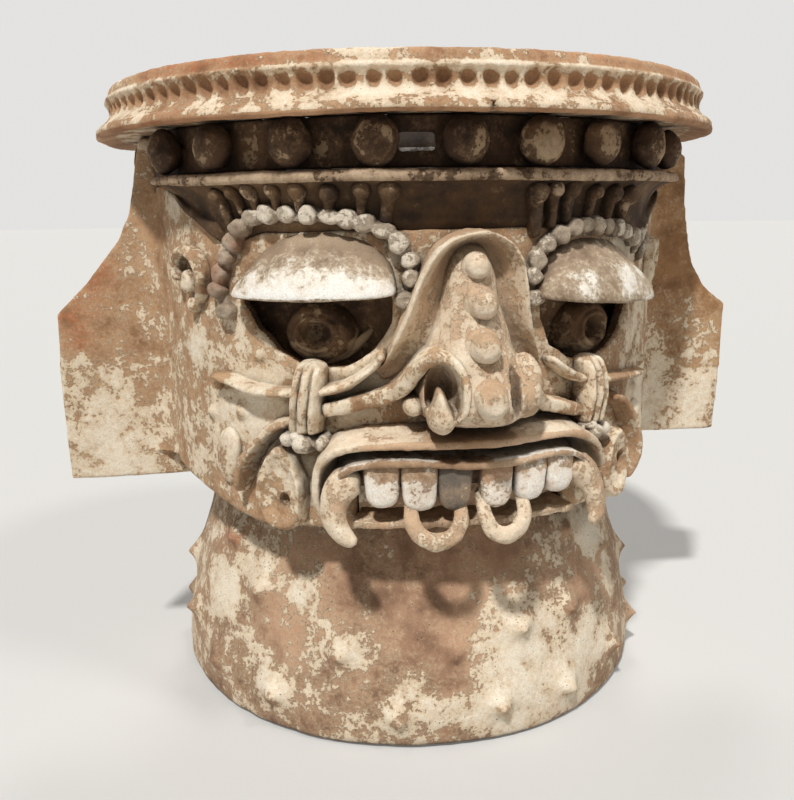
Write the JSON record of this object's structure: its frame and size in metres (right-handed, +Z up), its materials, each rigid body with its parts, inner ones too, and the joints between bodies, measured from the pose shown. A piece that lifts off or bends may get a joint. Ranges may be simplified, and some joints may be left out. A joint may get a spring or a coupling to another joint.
{
  "type": "effigy brazier",
  "caption": "Hourglass ceramic brazier with a fanged, goggle-eyed face in relief on its front, flat side wings and an open fire bowl under a finger-impressed rim.",
  "frame": {"origin": "middle of the whole object's footprint box, at floor height; the vessel's own axis stands 16.4 mm behind it, because the nose reaches further forward than the rim does backward", "axes": "+Z up, the face looks along -Y, +X to the viewer's right across the two wings"},
  "size_m": [1.003, 0.8948, 0.832],
  "materials": {
    "buff_clay": "bare buff-brown fired clay with stucco remains",
    "brown_clay": "bare brown fired clay, smoke-darkened inside",
    "worn_stucco": "patchy lime stucco over fired clay, worn",
    "stucco_coat": "thick white lime stucco over fired clay"
  },
  "bodies": {
    "root": {"pedestal": "buff_clay", "fire_bowl": "brown_clay", "ball_collar": "brown_clay", "rim_flange": "worn_stucco", "impressed_rim_band": "worn_stucco", "wing_left": "worn_stucco", "wing_right": "buff_clay", "face_mask": "buff_clay", "visor": "buff_clay", "strap_knot_left": "stucco_coat", "strap_left": "stucco_coat", "strap_knot_right": "stucco_coat", "strap_right": "stucco_coat", "nose_nub_1": "buff_clay", "nose_nub_2": "buff_clay", "nose_nub_3": "buff_clay", "nose_nub_4": "buff_clay", "nose": "worn_stucco", "nostril_ball_left": "buff_clay", "nostril_ball_right": "buff_clay", "moustache_left": "worn_stucco", "moustache_right": "worn_stucco", "nose_frame": "buff_clay", "goggle_bar_left": "worn_stucco", "goggle_bar_right": "worn_stucco", "eyelid_left": "stucco_coat", "eyelid_right": "stucco_coat", "bead_arc_left": "worn_stucco", "bead_arc_right": "worn_stucco", "ray_fan_left": "brown_clay", "ray_fan_right": "brown_clay", "outer_lip": "worn_stucco", "inner_lip": "stucco_coat", "tooth_1": "stucco_coat", "tooth_2": "stucco_coat", "tooth_3": "stucco_coat", "tooth_4": "stucco_coat", "tooth_5": "stucco_coat", "tooth_6": "stucco_coat", "fang_left": "stucco_coat", "fang_right": "stucco_coat", "tongue_ring_left": "worn_stucco", "tongue_ring_right": "worn_stucco", "mouth_ledge": "buff_clay", "ear_disc_left": "worn_stucco", "ear_disc_right": "worn_stucco", "cheek_curl_left": "buff_clay", "cheek_curl_right": "buff_clay", "cheek_plaque_left": "stucco_coat", "cheek_plaque_right": "stucco_coat", "ear_hook_left": "worn_stucco", "ear_hook_right": "worn_stucco", "eyeball_left": "brown_clay", "eyeball_right": "brown_clay"}
  },
  "joints": []
}
